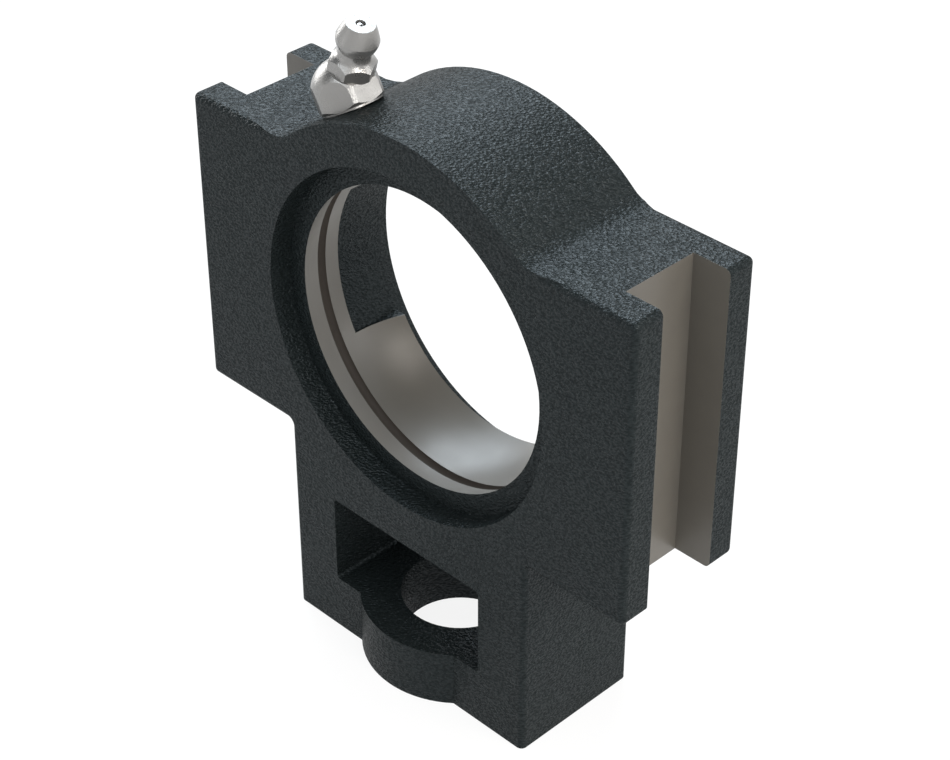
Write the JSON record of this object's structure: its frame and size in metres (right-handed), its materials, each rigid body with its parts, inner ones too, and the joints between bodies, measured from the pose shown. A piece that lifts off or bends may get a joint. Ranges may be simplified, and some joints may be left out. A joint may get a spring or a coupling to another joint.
{
  "type": "take-up bearing housing",
  "caption": "Cast take-up bearing housing with a spherical seat, side guide grooves, an adjusting screw slot and an angled grease nipple.",
  "frame": {"origin": "centre of the spherical bearing seat", "axes": "+Y along the bore from the front to the back, +Z away from the adjusting screw, X across the two guide grooves"},
  "size_m": [0.089, 0.032, 0.1071],
  "materials": {
    "cast_body": "dark grey cast skin, with the seat and grooves machined bare",
    "nipple_plating": "bright zinc plating",
    "ball_steel": "polished bearing steel",
    "spring_steel": "drawn spring wire"
  },
  "bodies": {
    "housing_unit": {"housing": "cast_body", "nipple_elbow": "nipple_plating", "nipple_head": "nipple_plating", "ball_spring": "spring_steel"},
    "valve_ball": {"check_ball": "ball_steel"}
  },
  "joints": [
    {"name": "check_ball_slide", "type": "slide", "parent": "housing_unit", "child": "valve_ball", "axis": [-0.2689, 0, -0.9632], "range_m": [0, 0.0009], "stiffness_N_per_m": 300, "springref_m": -0.002, "deforming": ["ball_spring"]}
  ]
}
